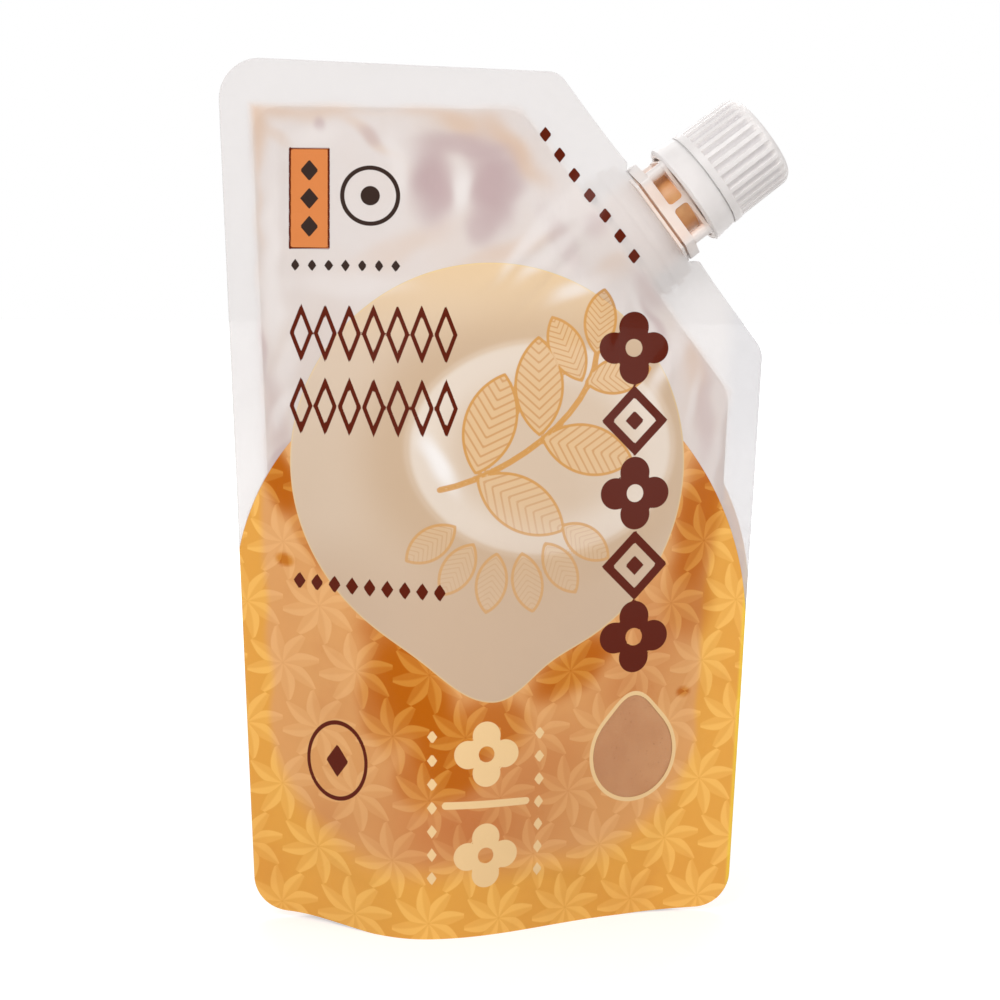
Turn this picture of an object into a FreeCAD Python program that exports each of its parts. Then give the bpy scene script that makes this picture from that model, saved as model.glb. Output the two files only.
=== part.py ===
# Spouted stand-up pouch of nut butter, standing on its base, in millimetres.
#
# The pouch is two film panels welded together along both sides, the top and a sloping
# shoulder, with a folded gusset let in below so that it stands open on an oval rim. A
# moulded spout is welded into the shoulder, and a ribbed screw cap with a tamper band
# closes it. +Z is up and the front panel faces -Y. The origin is under the middle of
# the whole object, on the surface that it stands on.
import FreeCAD, Part
import math
import os

from FreeCAD import Vector

# ---- pouch outline, as it stands filled ----
top_width = 106.0        # across the outer edges of the side seals, at the top
base_width = 91.4        # the same at the foot, where the filled film draws in
pouch_height = 162.0     # at the middle
top_left_rise = 1.1      # the top edge lies a little askew, higher at the left
top_right_drop = 0.9
shoulder_top_x = 10.9    # where the top edge ends and the shoulder begins
shoulder_drop = 52.0     # height of the shoulder, down to the right-hand side edge
shoulder_dip = (0.95, 0.2)   # how far the edge is drawn in beside the spout, left and right
dip_reach = 9.5          # half the length along the shoulder between those two places
foot_rise = (1.7, 1.0)   # how far the lower corners stand off the ground, left and right
foot_flat = 24.0         # half the length over which the rim rests on the ground
top_corner_radius = 7.6
shoulder_top_radius = 4.0
shoulder_foot_radius = 5.0
foot_corner_radius = 7.0

# ---- seals ----
seal_thickness = 0.5     # both films welded together
side_seal = 6.0
top_seal = 8.0
shoulder_seal = 10.0

# ---- filled body ----
base_depth = 38.2        # front to back across the open foot
crest_front = -14.5      # where the front stands out most at the foot, left of the middle
crest_back = 3.0
foot_fullness = (1.6, 2.5)   # powers of the cosine to the left and right of the front's crest
foot_fullness_back = (2.0, 2.0)
body_fullness = 1.0      # the same power higher up, where the section is a full lens
foot_fullness_rise = 26.0  # height over which the foot's shape passes into the body's
fall_power = 2.0         # how the bulge falls away towards the top seal
shoulder_run = 34.0      # distance from the shoulder seal to the full bulge

# ---- gusset under the body ----
rim_wall = 1.0           # panel and gusset welded together
rim_height = 5.0         # height of the weld along the rim
floor_rise = 3.2         # the filled gusset hangs down to this height in the middle
gusset_peak = 18.0       # its fold line climbs to this height near the corners
gusset_climb = 2.4       # power by which it climbs
gusset_end_depth = 2.4   # half depth of the foot where the recess ends
gusset_stations = 11
below = 1.0              # how far a cutting tool reaches past a face

# ---- control net of the two panels ----
columns = 27
rows = 27
net_margin = 2.0         # the net runs past the outline, which trims it

# ---- where the spout is welded between the panels ----
seat_drop = 2.0          # the spout is seated this far inside the line of the shoulder
seat_length = 21.0       # of the stretch of film edge cut back to the seat
boat_length = 25.0       # of the spout's pointed boat, along the shoulder
boat_depth = 9.6         # front to back
boat_height = 9.0
boat_ribs = 2            # thin weld ribs round it
boat_rib_reach = 0.35
drape_cover = 1.3        # how much the film's bulge stands off the boat in front and behind
drape_reach = 3.0        # how far that goes on past its two tips
drape_below = 2.5        # below the boat's foot
drape_fade = 9.0         # and the distance over which it then fades into the body
blend_power = 4          # of the rounded maximum of the two bulges

# ---- spout, measured along its own axis from its seat ----
bore_radius = 4.4        # filled with the pouch's contents up to the neck
flange_length = 20.6     # the two lower flanges are long hexagons
flange_flat = 14.4       # length of their flat front and back
flange_depth = 13.2
flange_tip = 3.2         # depth at the pointed ends
flange_corner = 0.6
lower_flange = 0.6       # thicknesses
groove = 0.5
groove_depth = 0.9       # how far the plate in the groove is set back all round
middle_flange = 2.0
window_height = 3.1      # between the middle and the upper flange
upper_flange = (16.6, 13.0, 0.7)   # length, depth, thickness
upper_flange_corner = 1.5
post_radius = 1.15       # the four corner posts between the flanges
web_width = 1.1          # of the flared web in front of and behind the neck
web_flare = 0.8          # radius of the hollows where it meets the flanges
neck_radius = 6.3

# ---- tamper band and cap ----
band_height = 4.8
band_wall = 1.3
band_foot_flare = 0.65   # how far the band's foot stands out beyond the cap's ribs
band_top_flare = 0.05
band_lip = 0.5           # rounding of the band's lower edge
break_gap = 0.25         # slot that tears when the cap is first opened
skirt_reach = 1.0        # a thin skirt of the cap reaches this far down inside the band
skirt_wall = 0.5
skirt_play = 0.05
bridges = 10             # webs across that slot
bridge_width = 1.0
bridge_wall = 0.6
cap_height = 14.05
cap_radius = 9.7         # over the ribs, next to the bead
cap_taper = 0.2          # by which it is smaller at the top
cap_bead = 0.2           # how far the plain bead at its foot stands out
cap_bead_height = 1.55
cap_shoulder = 2.4       # rounding of the cap's top edge
cap_roof = 2.0
cap_ribs = 30
flute_radius = 0.66      # round cutter between two ribs
flute_depth = 0.5


# ---------------------------------------------------------------- the outline
def half_width(z):
    """Half the pouch's outer width at height z: a straight taper down to the foot."""
    return (base_width + (top_width - base_width) * z / pouch_height) / 2


shoulder_top = Vector(shoulder_top_x, 0, pouch_height - top_right_drop)
shoulder_foot_z = shoulder_top.z - shoulder_drop
shoulder_foot = Vector(half_width(shoulder_foot_z), 0, shoulder_foot_z)
shoulder_along = (shoulder_foot - shoulder_top).normalize()
shoulder_out = Vector(-shoulder_along.z, 0, shoulder_along.x)
shoulder_middle = (shoulder_top + shoulder_foot) * 0.5


def outline_prism():
    """The pouch's outline with its rounded corners, carried right through the body."""
    left_z = pouch_height + top_left_rise
    top_left = Vector(-half_width(left_z), 0, left_z)
    beside_spout = [shoulder_middle + shoulder_along * side * dip_reach - shoulder_out * dip
                    for side, dip in zip((-1, 1), shoulder_dip)]
    foot_right = Vector(half_width(foot_rise[1]), 0, foot_rise[1])
    foot_left = Vector(-half_width(foot_rise[0]), 0, foot_rise[0])
    loop = [top_left, shoulder_top] + beside_spout + [shoulder_foot, foot_right, Vector(foot_flat, 0, 0),
                                                     Vector(-foot_flat, 0, 0), foot_left, top_left]
    wire = Part.makePolygon(loop)
    wire.translate(Vector(0, -base_depth, 0))
    prism = Part.Face(wire).extrude(Vector(0, 2 * base_depth, 0))
    corners = [
        (top_left, top_corner_radius),
        (shoulder_top, shoulder_top_radius),
        (shoulder_foot, shoulder_foot_radius),
        (foot_left, foot_corner_radius),
        (foot_right, foot_corner_radius),
    ]
    for corner, radius in corners:
        through = [edge for edge in prism.Edges
                   if all(math.hypot(v.X - corner.x, v.Z - corner.z) < 0.01 for v in edge.Vertexes)]
        prism = prism.makeFillet(radius, through)
    return prism


# ------------------------------------------------------------ the filled body
def clamp(value, low=0.0, high=1.0):
    return max(low, min(high, value))


def smooth_step(value):
    """0 to 1 with no kink at either end."""
    value = clamp(value)
    return value * value * (3 - 2 * value)


def inside_shoulder(x, z):
    """Distance from the line of the shoulder into the pouch."""
    return -((x - shoulder_middle.x) * shoulder_out.x + (z - shoulder_middle.z) * shoulder_out.z)


def along_shoulder(x, z):
    """Distance along the shoulder from the spout's axis."""
    return (x - shoulder_middle.x) * shoulder_along.x + (z - shoulder_middle.z) * shoulder_along.z


def bulge(x, z, crest_x, fullness):
    """How far a filled panel stands off the seal plane. Across the pouch it is a cosine to a
    power, on either side of its crest; it falls to nothing at the top and shoulder seals."""
    inner = half_width(z) - side_seal
    fill_top = pouch_height - top_seal
    if z >= fill_top or abs(x) >= inner:
        return 0.0
    crest = crest_x * (1 - smooth_step(z / fill_top))
    side = 0 if x < crest else 1
    share = (crest - x) / (inner + crest) if x < crest else (x - crest) / (inner - crest)
    foot = math.exp(-(z / foot_fullness_rise) ** 2)
    power = body_fullness + (fullness[side] - body_fullness) * foot
    profile = math.cos(math.pi / 2 * clamp(share)) ** power
    height = 1 - (z / fill_top) ** fall_power
    shoulder = 1 - (1 - clamp((inside_shoulder(x, z) - shoulder_seal) / shoulder_run)) ** 2
    return (base_depth / 2 - seal_thickness / 2) * height * profile * shoulder


def drape(x, z):
    """How far a panel stands off where it wraps the boat: a pointed oval along the shoulder."""
    across = clamp(1 - (along_shoulder(x, z) / (boat_length / 2 + drape_reach)) ** 2)
    depth_in = inside_shoulder(x, z) - seat_drop - boat_height - drape_below
    fade = 1 - smooth_step(depth_in / drape_fade)
    return (boat_depth / 2 + drape_cover - seal_thickness / 2) * across * fade


def stand_off(x, z, crest_x, fullness):
    """The body's and the boat's bulge under a rounded maximum, on half the weld."""
    total = bulge(x, z, crest_x, fullness) ** blend_power + drape(x, z) ** blend_power
    return seal_thickness / 2 + total ** (1 / blend_power)


FRONT = (-1, crest_front, foot_fullness)
BACK = (1, crest_back, foot_fullness_back)


def panel(sign, crest_x, fullness):
    """One film panel as a cubic surface over a net of control points."""
    reach = top_width / 2 + net_margin
    xs = [-reach + 2 * reach * i / (columns - 1) for i in range(columns)]
    zs = [(pouch_height + net_margin) * j / (rows - 1) for j in range(rows)]
    poles = [[Vector(x, sign * stand_off(x, z, crest_x, fullness), z) for z in zs] for x in xs]
    surface = Part.BSplineSurface()
    surface.buildFromPolesMultsKnots(
        poles,
        [4] + [1] * (columns - 4) + [4], [4] + [1] * (rows - 4) + [4],
        [float(i) for i in range(columns - 2)], [float(j) for j in range(rows - 2)],
        False, False, 3, 3)
    return surface.toShape()


def end_face(edge_a, edge_b):
    """A flat face between two edges that face each other, one from each panel."""
    a0, a1 = [edge_a.valueAt(t) for t in (edge_a.FirstParameter, edge_a.LastParameter)]
    b0, b1 = [edge_b.valueAt(t) for t in (edge_b.FirstParameter, edge_b.LastParameter)]
    if (a0 - b0).Length > (a0 - b1).Length:
        b0, b1 = b1, b0
    return Part.Face(Part.Wire(Part.__sortEdges__([
        edge_a, Part.LineSegment(a1, b1).toShape(), edge_b, Part.LineSegment(b0, a0).toShape()])))


def edge_at(face, axis, value):
    """The boundary edge of a panel that lies wholly at one x or z."""
    return [e for e in face.Edges
            if all(abs(getattr(e.valueAt(t), axis) - value) < 1e-6
                   for t in (e.FirstParameter, e.LastParameter,
                             (e.FirstParameter + e.LastParameter) / 2))][0]


def filled_block():
    """The space between the two panels, closed by flat faces all round."""
    front = panel(*FRONT)
    back = panel(*BACK)
    reach = top_width / 2 + net_margin
    ends = [("x", -reach), ("x", reach), ("z", 0.0), ("z", pouch_height + net_margin)]
    faces = [front, back] + [end_face(edge_at(front, *end), edge_at(back, *end)) for end in ends]
    shell = Part.makeShell(faces)
    shell.sewShape()
    return Part.makeSolid(shell)


# ------------------------------------------------------------------ the gusset
def foot_depth(x, side):
    """How far the foot stands off the seal plane at x, in front or behind."""
    return stand_off(x, 0, *side[1:])


def recess_end(sign):
    """How far the recess under the gusset reaches sideways: it stops where the foot is thin."""
    x = 0.0
    while min(foot_depth(sign * x, FRONT), foot_depth(sign * x, BACK)) > gusset_end_depth:
        x += 0.25
    return sign * x


def recess_section(x, left, right):
    """The recess cut across at x: two upright walls and the gusset arched between them."""
    front = -(foot_depth(x, FRONT) - rim_wall)
    back = foot_depth(x, BACK) - rim_wall
    share = abs(x - (left + right) / 2) / ((right - left) / 2)
    peak = floor_rise + (gusset_peak - floor_rise) * share ** gusset_climb
    corners = [Vector(x, y, z) for y, z in (
        (front, -below), (front, rim_height), (back, rim_height), (back, -below))]
    arch = Part.BezierCurve()
    arch.setPoles([corners[1], Vector(x, (front + back) / 2, 2 * peak - rim_height), corners[2]])
    return Part.Wire([
        Part.LineSegment(corners[0], corners[1]).toShape(),
        arch.toShape(),
        Part.LineSegment(corners[2], corners[3]).toShape(),
        Part.LineSegment(corners[3], corners[0]).toShape(),
    ])


def gusset_recess():
    """The open space under the gusset, as a loft through cuts across it."""
    left, right = recess_end(-1), recess_end(1)
    stations = [left + (right - left) * i / (gusset_stations - 1) for i in range(gusset_stations)]
    return Part.makeLoft([recess_section(x, left, right) for x in stations], True, False)


def pouch():
    """The filled pouch, cut back to the spout's seat, with a pocket for the boat. Its
    contents reach up the spout's bore."""
    body = filled_block().common(outline_prism()).cut(gusset_recess())
    seat = Part.makeBox(seat_length, base_depth, 4 * seat_drop, Vector(-seat_length / 2, -base_depth / 2, 0))
    filling = Part.makeCylinder(bore_radius, neck_top, Vector(0, 0, -boat_height))
    pocket = boat().cut(filling)
    return body.cut([on_shoulder(seat), on_shoulder(pocket)]).fuse(on_shoulder(filling)).removeSplitter()


# ------------------------------------------- spout, band and cap on their axis
def revolved(points):
    """A closed half section (radius, height) with straight sides, turned about the axis."""
    loop = [Vector(r, 0, z) for r, z in points]
    return Part.Face(Part.makePolygon(loop + loop[:1])).revolve(Vector(), Vector(0, 0, 1), 360)


def plate(outline, z_low, height, corner):
    """A flat plate across the axis, its upright edges rounded."""
    loop = [Vector(x, y, z_low) for x, y in outline]
    block = Part.Face(Part.makePolygon(loop + loop[:1])).extrude(Vector(0, 0, height))
    upright = [e for e in block.Edges if abs(e.Vertexes[0].Z - e.Vertexes[1].Z) > height / 2]
    return block.makeFillet(corner, upright)


def mirrored_outline(quarter):
    """A closed outline from its points in the first quarter, mirrored both ways."""
    right = quarter + [(x, -y) for x, y in reversed(quarter)]
    return right + [(-x, -y) for x, y in right]


def lens(length, depth, z_low, height):
    """A pointed oval prism between two arcs, its length along the shoulder."""
    tips = [Vector(-length / 2, 0, z_low), Vector(length / 2, 0, z_low)]
    arcs = [Part.Arc(tips[0], Vector(0, side * depth / 2, z_low), tips[1]).toShape() for side in (-1, 1)]
    return Part.Face(Part.Wire(arcs)).extrude(Vector(0, 0, height))


cap_top_radius = cap_radius - cap_taper
cap_bead_radius = cap_radius + cap_bead
band_foot_radius = cap_radius + band_foot_flare
band_top_radius = cap_radius + band_top_flare
lower_flange_z = 0.0
middle_flange_z = lower_flange + groove
window_z = middle_flange_z + middle_flange
upper_flange_z = window_z + window_height
band_z = upper_flange_z + upper_flange[2]
cap_z = band_z + band_height + break_gap
cap_top_z = cap_z + cap_height
neck_top = cap_top_z - cap_roof


def boat():
    """The pointed oval block welded between the panels, with thin ribs round it."""
    pitch = boat_height / (boat_ribs + 1)
    ribs = [lens(boat_length + 4 * boat_rib_reach, boat_depth + 2 * boat_rib_reach,
                 -pitch * (i + 1) - pitch / 4, pitch / 2) for i in range(boat_ribs)]
    return lens(boat_length, boat_depth, -boat_height, boat_height).multiFuse(ribs)


def web():
    """The bar across the window in front of and behind the neck, flared where it meets the
    flanges."""
    width = web_width + 2 * web_flare
    depth = upper_flange[1]
    bar = Part.makeBox(width, depth, window_height, Vector(-width / 2, -depth / 2, window_z))
    hollows = []
    for side in (-1, 1):
        hollow = Part.makeBox(2 * web_flare, depth, window_height,
                              Vector(side * (web_width / 2 + web_flare) - web_flare, -depth / 2, window_z))
        beside_web = [e for e in hollow.Edges
                      if all(abs(v.X - side * web_width / 2) < 1e-6 for v in e.Vertexes)
                      and abs(e.Vertexes[0].Z - e.Vertexes[1].Z) < 1e-6]
        hollows.append(hollow.makeFillet(web_flare, beside_web))
    return bar.cut(hollows)


def spout():
    """The boat, two long flanges, an upper flange held up by posts and webs, and the neck."""
    long_plate, set_back = [
        mirrored_outline([(flange_flat / 2 - inset, flange_depth / 2 - inset),
                          (flange_length / 2 - inset, flange_tip / 2 - inset / 2)])
        for inset in (0, groove_depth)]
    length, depth, thickness = upper_flange
    short_plate = mirrored_outline([(length / 2, depth / 2)])
    inset = upper_flange_corner - 0.2
    pieces = [
        boat(),
        plate(long_plate, lower_flange_z, lower_flange, flange_corner),
        plate(set_back, lower_flange, groove, flange_corner),
        plate(long_plate, middle_flange_z, middle_flange, flange_corner),
        web(),
        plate(short_plate, upper_flange_z, thickness, upper_flange_corner),
        Part.makeCylinder(neck_radius, neck_top - window_z, Vector(0, 0, window_z)),
    ]
    for x in (-length / 2 + inset, length / 2 - inset):
        for y in (-depth / 2 + inset, depth / 2 - inset):
            pieces.append(Part.makeCylinder(post_radius, window_height, Vector(x, y, window_z)))
    bore = Part.makeCylinder(bore_radius, neck_top + boat_height, Vector(0, 0, -boat_height))
    return pieces[0].multiFuse(pieces[1:]).removeSplitter().cut(bore)


def tamper_band():
    """A flared ring under the cap, with the thin webs that join it to the cap's foot."""
    top_z = band_z + band_height
    ring = revolved([
        (band_foot_radius - band_wall, band_z),
        (band_foot_radius - band_lip, band_z),
        (band_foot_radius, band_z + band_lip),
        (band_top_radius, top_z),
        (band_top_radius - band_wall, top_z),
    ])
    webs = []
    for i in range(bridges):
        web = Part.makeBox(bridge_wall, bridge_width, break_gap,
                           Vector(band_top_radius - band_wall / 2 - bridge_wall / 2, -bridge_width / 2, top_z))
        web.rotate(Vector(), Vector(0, 0, 1), 360 * (i + 0.5) / bridges)
        webs.append(web)
    return ring.multiFuse(webs).removeSplitter()


def cap():
    """A cup over the neck: a plain bead at its foot, ribs up its side and a rounded top edge.
    A thin skirt inside the band closes the slot between them from within."""
    bead_top = cap_z + cap_bead_height
    skirt = band_top_radius - band_wall - skirt_play
    inner = skirt - skirt_wall
    body = revolved([
        (0, cap_top_z - cap_roof), (inner, cap_top_z - cap_roof), (inner, cap_z - skirt_reach),
        (skirt, cap_z - skirt_reach), (skirt, cap_z), (cap_bead_radius, cap_z),
        (cap_bead_radius, bead_top), (cap_radius, bead_top),
        (cap_top_radius, cap_top_z), (0, cap_top_z),
    ])
    top_edge = [e for e in body.Edges
                if e.Length > 2 * math.pi * cap_top_radius - 0.1 and abs(e.BoundBox.ZMin - cap_top_z) < 0.01]
    body = body.makeFillet(cap_shoulder, top_edge)
    flutes = []
    for i in range(cap_ribs):
        lean = math.degrees(math.atan2(cap_taper, cap_height - cap_bead_height))
        flute = Part.makeCylinder(flute_radius, cap_height, Vector(0, 0, 0))
        flute.rotate(Vector(), Vector(0, 1, 0), -lean)
        flute.translate(Vector(cap_radius + flute_radius - flute_depth, 0, bead_top))
        flute.rotate(Vector(), Vector(0, 0, 1), 360 * i / cap_ribs)
        flutes.append(flute)
    return body.cut(Part.makeCompound(flutes))


def on_shoulder(shape):
    """Moves a shape from the spout's own axis to its seat in the middle of the shoulder."""
    angle = math.degrees(math.atan2(shoulder_out.x, shoulder_out.z))
    shape.rotate(Vector(), Vector(0, 1, 0), angle)
    shape.translate(shoulder_middle - shoulder_out * seat_drop)
    return shape


# ---------------------------------------------------------------- whole object
def centre_offset():
    """Sideways place of the middle of the whole object, from the pouch's left edge, just
    under its rounded top corner, to the furthest point of the cap's rounded top edge."""
    rounding_z = cap_top_z - cap_shoulder - seat_drop
    rounding_radius = cap_top_radius - cap_shoulder
    cap_reach = (shoulder_middle.x + rounding_z * shoulder_out.x
                 + rounding_radius * shoulder_out.z + cap_shoulder)
    pouch_reach = half_width(pouch_height + top_left_rise - top_corner_radius)
    return (cap_reach - pouch_reach) / 2


parts = {
    "pouch": pouch(),
    "spout": on_shoulder(spout()),
    "tamper_band": on_shoulder(tamper_band()),
    "cap": on_shoulder(cap()),
}
os.makedirs("parts", exist_ok=True)
for name, shape in parts.items():
    shape.translate(Vector(-centre_offset(), 0, 0))
    print(name, "valid", shape.isValid(), "solids", len(shape.Solids),
          "volume ml", round(shape.Volume / 1000, 2), "faces", len(shape.Faces))
    shape.exportStep(os.path.join("parts", name + ".step"))
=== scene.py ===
# %% [markdown]
# # A spouted stand-up pouch of nut butter
#
# This lesson dresses a finished CAD model. The spout, the tamper band and the cap keep
# their CAD shapes and only get materials. The pouch is a plain solid in CAD, so here it is
# replaced by what it really is: two printed film panels, a folded gusset under them, and
# the thick paste inside.
#
# The CAD model comes in first, because every later piece takes its place from it.

# %% Load the CAD model
import math

import bpy
import numpy as np
from mathutils import Matrix


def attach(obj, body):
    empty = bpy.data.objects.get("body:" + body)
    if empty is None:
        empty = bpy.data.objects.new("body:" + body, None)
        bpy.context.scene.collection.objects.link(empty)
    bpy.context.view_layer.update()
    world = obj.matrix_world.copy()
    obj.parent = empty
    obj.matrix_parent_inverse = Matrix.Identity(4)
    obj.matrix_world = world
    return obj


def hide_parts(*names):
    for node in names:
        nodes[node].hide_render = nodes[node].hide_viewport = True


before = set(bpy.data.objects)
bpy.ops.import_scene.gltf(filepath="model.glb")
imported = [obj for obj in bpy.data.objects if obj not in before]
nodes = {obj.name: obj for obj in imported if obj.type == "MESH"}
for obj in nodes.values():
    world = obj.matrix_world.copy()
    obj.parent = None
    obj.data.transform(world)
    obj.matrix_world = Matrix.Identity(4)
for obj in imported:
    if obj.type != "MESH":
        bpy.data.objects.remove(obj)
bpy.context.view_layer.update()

# %% [markdown]
# ## The pouch's sizes
#
# The film has to lie exactly where the CAD solid's skin lies, so the same named sizes come
# first, in millimetres. Everything is worked out in millimetres and turned into metres only
# when it goes into a mesh.

# %% Sizes of the pouch, in millimetres
MM = 0.001
centre_x = -1.003        # the pouch's own middle, seen from the middle of the whole object
top_width, base_width, pouch_height = 106.0, 91.4, 162.0
top_left_rise, top_right_drop = 1.1, 0.9
shoulder_top_x, shoulder_drop = 10.9, 52.0
shoulder_dip, dip_reach = (0.95, 0.2), 9.5
foot_rise, foot_flat = (1.7, 1.0), 24.0
top_corner_radius, shoulder_top_radius, shoulder_foot_radius, foot_corner_radius = 7.6, 4.0, 5.0, 7.0
half_weld, side_seal, top_seal, shoulder_seal = 0.25, 6.0, 8.0, 10.0
base_depth, fall_power, foot_rise_reach, shoulder_run = 38.2, 2.0, 26.0, 34.0
crest_front, crest_back = -14.5, 3.0
foot_fullness, foot_fullness_back, body_fullness = (1.6, 2.5), (2.0, 2.0), 1.0
rim_wall, rim_height, floor_rise, gusset_peak, gusset_climb = 1.0, 5.0, 3.2, 18.0, 2.4
gusset_end_depth = 2.4
net_count, net_margin = 27, 2.0
seat_drop, seat_length, seat_slope = 2.0, 21.0, 1.0
boat_length, boat_depth, boat_height = 25.0, 9.6, 9.0
drape_cover, drape_reach, drape_below, drape_fade, blend_power = 1.3, 3.0, 2.5, 9.0, 4
window_low, window_high, neck_top, bore_radius = 3.1, 6.2, 24.1, 4.4
groove_low, groove_high, flange_flat = 0.6, 1.1, 14.4
band_top, band_top_radius, skirt_radius = 11.7, 9.75, 8.4
cap_low, cap_top, cap_radius, cap_bead_height = 11.95, 26.0, 9.7, 1.55
fill_top = pouch_height - top_seal


def half_width(z):
    """Half the outer width at height z: a straight taper from base_width to top_width."""
    return (base_width + (top_width - base_width) * z / pouch_height) / 2


shoulder_top = np.array([shoulder_top_x, pouch_height - top_right_drop])
shoulder_foot_z = shoulder_top[1] - shoulder_drop
shoulder_foot = np.array([half_width(shoulder_foot_z), shoulder_foot_z])
shoulder_middle = (shoulder_top + shoulder_foot) / 2
shoulder_way = (shoulder_foot - shoulder_top) / np.linalg.norm(shoulder_foot - shoulder_top)
shoulder_out = np.array([-shoulder_way[1], shoulder_way[0]])


def inside_shoulder(x, z):
    """Distance from the shoulder's line into the pouch."""
    return -((x - shoulder_middle[0]) * shoulder_out[0] + (z - shoulder_middle[1]) * shoulder_out[1])


def along_shoulder(x, z):
    """Distance along the shoulder from the spout's axis."""
    return (x - shoulder_middle[0]) * shoulder_way[0] + (z - shoulder_middle[1]) * shoulder_way[1]


print("shoulder runs from", shoulder_top.round(1), "to", shoulder_foot.round(1))

# %% [markdown]
# ## How far the filled film stands off the middle plane
#
# A filled pouch is a cushion between its seals: full low down, falling to nothing at the
# top and the shoulder, with a small tent where it wraps the spout's boat. One formula gives
# that for both panels. A cubic B-spline then smooths it, just as the CAD surface does.

# %% The body's bulge
def clamp(value):
    return np.clip(value, 0.0, 1.0)


def smooth_step(value):
    """0 to 1 along 3t^2 - 2t^3, with no kink at either end."""
    t = clamp(value)
    return t * t * (3 - 2 * t)


def bulge(x, z, crest_x, fullness):
    """Half depth times four shares: a cosine to a power across the pouch on each side of the
    crest, one minus the height squared, and a round rise from the shoulder seal."""
    inner = half_width(z) - side_seal
    crest = crest_x * (1 - smooth_step(z / fill_top))
    left = x < crest
    share = np.where(left, (crest - x) / (inner + crest), (x - crest) / (inner - crest))
    near_foot = np.exp(-(z / foot_rise_reach) ** 2)
    power = body_fullness + (np.where(left, *fullness) - body_fullness) * near_foot
    profile = np.cos(np.pi / 2 * clamp(share)) ** power
    height = clamp(1 - np.maximum(z / fill_top, 0) ** fall_power)
    shoulder = 1 - (1 - clamp((inside_shoulder(x, z) - shoulder_seal) / shoulder_run)) ** 2
    body = (base_depth / 2 - half_weld) * height * profile * shoulder
    return np.where((z >= fill_top) | (np.abs(x) >= inner), 0.0, body)


def drape(x, z):
    """The tent over the boat: a pointed oval along the shoulder that fades into the body."""
    across = clamp(1 - (along_shoulder(x, z) / (boat_length / 2 + drape_reach)) ** 2)
    depth_in = inside_shoulder(x, z) - seat_drop - boat_height - drape_below
    fade = 1 - smooth_step(depth_in / drape_fade)
    return (boat_depth / 2 + drape_cover - half_weld) * across * fade


def stand_off(x, z, crest_x, fullness):
    """Half the weld plus the fourth root of the two bulges' fourth powers added up."""
    total = bulge(x, z, crest_x, fullness) ** blend_power + drape(x, z) ** blend_power
    return half_weld + total ** (1 / blend_power)


# %% The same surface smoothed by a cubic B-spline
def cubic_basis(count, t):
    """Weights of a clamped cubic B-spline's control values at each t. They start as 1 in
    t's own knot span, and three times over each becomes a blend of itself and the next."""
    knots = np.concatenate([[0] * 3, np.arange(count - 2), [count - 3] * 3]).astype(float)
    t = np.clip(t, 0, count - 3 - 1e-9)[:, None]
    weight = ((t >= knots[:-1]) & (t < knots[1:])).astype(float)
    for degree in (1, 2, 3):
        span = knots[degree:] - knots[:-degree]
        share = np.where(span > 0, (t - knots[:-degree]) / np.where(span > 0, span, 1), 0)
        weight = share[:, :-1] * weight[:, :-1] + (1 - share[:, 1:]) * (span[1:] > 0) * weight[:, 1:]
    return weight


def net_weights(values, first, last):
    """Weights of evenly spaced control values for points at these x or z: the spline's own
    parameter is read back from a table of where each parameter lies."""
    table = np.linspace(0, net_count - 3, 2401)
    places = cubic_basis(net_count, table) @ np.linspace(first, last, net_count)
    return cubic_basis(net_count, np.interp(values, places, table))


def panel_offset(x, z, crest_x, fullness):
    """The smoothed stand-off at points x, z of any array shape."""
    reach, top = top_width / 2 + net_margin, pouch_height + net_margin
    net_x, net_z = np.meshgrid(np.linspace(-reach, reach, net_count),
                               np.linspace(0, top, net_count), indexing="ij")
    net = stand_off(net_x, net_z, crest_x, fullness)
    across = net_weights(x.ravel(), -reach, reach) @ net
    return np.einsum("nj,nj->n", across, net_weights(z.ravel(), 0, top)).reshape(x.shape)


FRONT = (crest_front, foot_fullness)
BACK = (crest_back, foot_fullness_back)
foot_offset = panel_offset(np.array([crest_front]), np.array([0.0]), *FRONT)
print("the foot's front stands off", foot_offset.round(2), "mm")

# %% [markdown]
# ## The pouch's outline
#
# The outline is a polygon with rounded corners. To lay a regular grid inside it, the
# outline is cut at four of its corners into a left, right, bottom and top side, and the
# grid is a Coons patch: the two blends between opposite sides added up, less the blend of
# the four corners. The grid's rim then lies exactly on the outline.

# %% Four sides and the patch between them
def corner_arc(before, corner, after, radius, count=17):
    """Points of the arc that rounds a corner: it touches both sides at radius / tan(half the
    corner's angle) from the corner."""
    a, b = (before - corner), (after - corner)
    a, b = a / np.linalg.norm(a), b / np.linalg.norm(b)
    half = math.acos(np.clip(a @ b, -1, 1)) / 2
    middle = corner + (a + b) / np.linalg.norm(a + b) * radius / math.sin(half)
    start, end = corner + a * radius / math.tan(half), corner + b * radius / math.tan(half)
    turn = np.linspace(0, 1, count)[:, None]
    swing = math.pi - 2 * half
    swung = np.sin((1 - turn) * swing) * (start - middle) + np.sin(turn * swing) * (end - middle)
    return middle + swung / math.sin(swing)


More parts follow.
